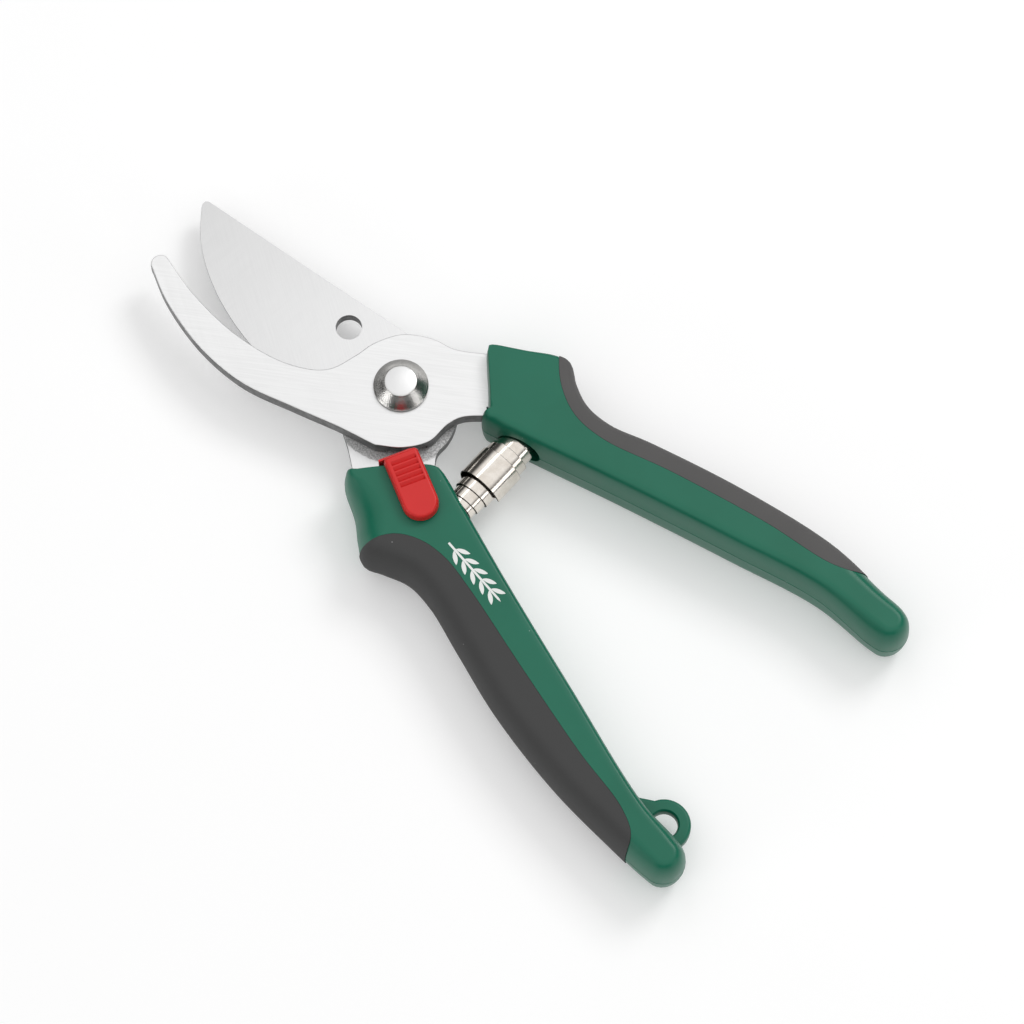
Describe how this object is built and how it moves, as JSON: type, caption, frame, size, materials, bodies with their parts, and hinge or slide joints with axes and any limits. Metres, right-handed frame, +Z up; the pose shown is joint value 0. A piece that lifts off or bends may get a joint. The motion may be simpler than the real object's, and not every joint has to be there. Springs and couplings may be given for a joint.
{
  "type": "bypass pruner",
  "caption": "Hand pruner with a curved hook and a bypass cutting blade on a pivot bolt, two gripped handles, a volute spring, a sliding thumb lock and a hanging loop.",
  "frame": {"origin": "middle of the bottom of the open pruner's bounding box, on the surface it lies on", "axes": "+X along the length towards the blade tip, +Y towards the hook's side of the jaws, +Z up from the surface, which is the pivot's axis"},
  "size_m": [0.2062, 0.0918, 0.021],
  "materials": {
    "ground_steel": "satin ground",
    "zinc_steel": "zinc plated",
    "nickel": "polished nickel",
    "green_plastic": "fine moulded, slightly glossy",
    "upper_grip_rubber": "matt soft-touch",
    "lower_grip_rubber": "matt soft-touch",
    "red_plastic": "moulded, slightly glossy",
    "nylon": "natural nylon"
  },
  "bodies": {
    "hook_half": {"hook_blade": "ground_steel", "pivot_bolt": "nickel", "pivot_washer": "zinc_steel", "pivot_nut": "zinc_steel", "nut_lock_ring": "nylon", "upper_front_shell": "green_plastic", "upper_back_shell": "green_plastic", "upper_grip": "upper_grip_rubber", "upper_spring_stud": "zinc_steel", "upper_tang_pin": "zinc_steel", "volute_spring": "nickel"},
    "blade_half": {"cutting_blade": "ground_steel", "lower_front_shell": "green_plastic", "lower_back_shell": "green_plastic", "lower_grip": "lower_grip_rubber", "lower_spring_stud": "zinc_steel", "lower_tang_pin": "zinc_steel", "lock_detent_spring": "zinc_steel"},
    "lock": {"lock_button": "red_plastic", "lock_catch": "zinc_steel", "lock_screw": "zinc_steel"}
  },
  "joints": [
    {"name": "pivot", "type": "hinge", "parent": "hook_half", "child": "blade_half", "pos_m": [0.03117, -0.0002, 0.009], "axis": [0, 0, 1], "range_deg": [0, 22], "stiffness_Nm_per_rad": 1.2, "springref_deg": -5.73, "deforming": ["volute_spring"]},
    {"name": "lock_slide", "type": "slide", "parent": "blade_half", "child": "lock", "axis": [0.9205, -0.3907, 0], "range_m": [0, 0.0045]}
  ]
}
